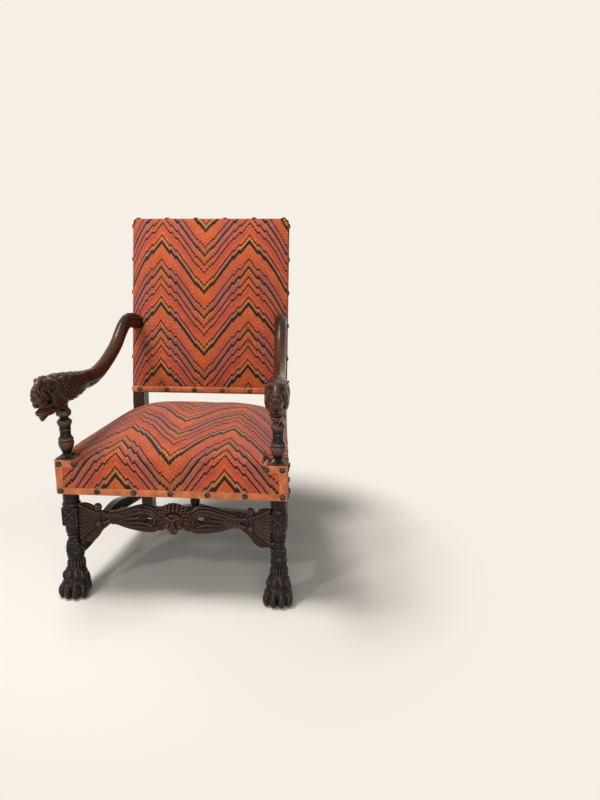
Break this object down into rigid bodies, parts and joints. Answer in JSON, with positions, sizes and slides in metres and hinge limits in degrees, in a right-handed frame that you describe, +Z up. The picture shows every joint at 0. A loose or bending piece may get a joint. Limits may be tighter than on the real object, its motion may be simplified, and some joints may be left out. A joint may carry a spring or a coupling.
{
  "type": "carved upholstered armchair",
  "caption": "High-backed carved armchair with lion-head arms, paw feet, a carved front stretcher and flame-stitch upholstery.",
  "frame": {"origin": "on the floor, at the middle of the chair's footprint box", "axes": "+Z up, -Y to the front where the sitter's feet are, +X to the right as seen from the front"},
  "size_m": [0.7326, 0.8374, 1.18],
  "materials": {
    "dark_oak": "waxed",
    "frame_wood": "raw",
    "flame_stitch_cloth": "woven",
    "plain_cloth": "woven",
    "braid": "woven",
    "nail_metal": "dark patina",
    "screw_steel": "satin",
    "spring_steel": "coppered",
    "jute_webbing": "woven",
    "canvas": "woven",
    "stuffing": "matt",
    "dust_cloth": "matt"
  },
  "bodies": {
    "root": {"arm_left": "dark_oak", "arm_right": "dark_oak", "arm_screws": "screw_steel", "arm_support_left": "dark_oak", "arm_support_right": "dark_oak", "back_braid": "braid", "back_canvas": "canvas", "back_cover": "flame_stitch_cloth", "back_lower_rail": "frame_wood", "back_nails": "nail_metal", "back_post_left": "dark_oak", "back_post_right": "dark_oak", "back_stuffing": "stuffing", "back_top_rail": "frame_wood", "back_webbing": "jute_webbing", "corner_blocks": "frame_wood", "cross_stretcher": "dark_oak", "dust_cover": "dust_cloth", "front_leg_left": "dark_oak", "front_leg_right": "dark_oak", "front_seat_rail": "frame_wood", "front_stretcher": "dark_oak", "outside_back": "plain_cloth", "rail_pegs": "frame_wood", "rear_seat_rail": "frame_wood", "seat_braid": "braid", "seat_cover": "flame_stitch_cloth", "seat_nails": "nail_metal", "seat_springs": "spring_steel", "seat_stuffing": "stuffing", "seat_webbing": "jute_webbing", "side_seat_rail_left": "frame_wood", "side_seat_rail_right": "frame_wood", "side_stretcher_left": "dark_oak", "side_stretcher_right": "dark_oak", "spring_canvas": "canvas", "stretcher_finial": "dark_oak"}
  },
  "joints": []
}
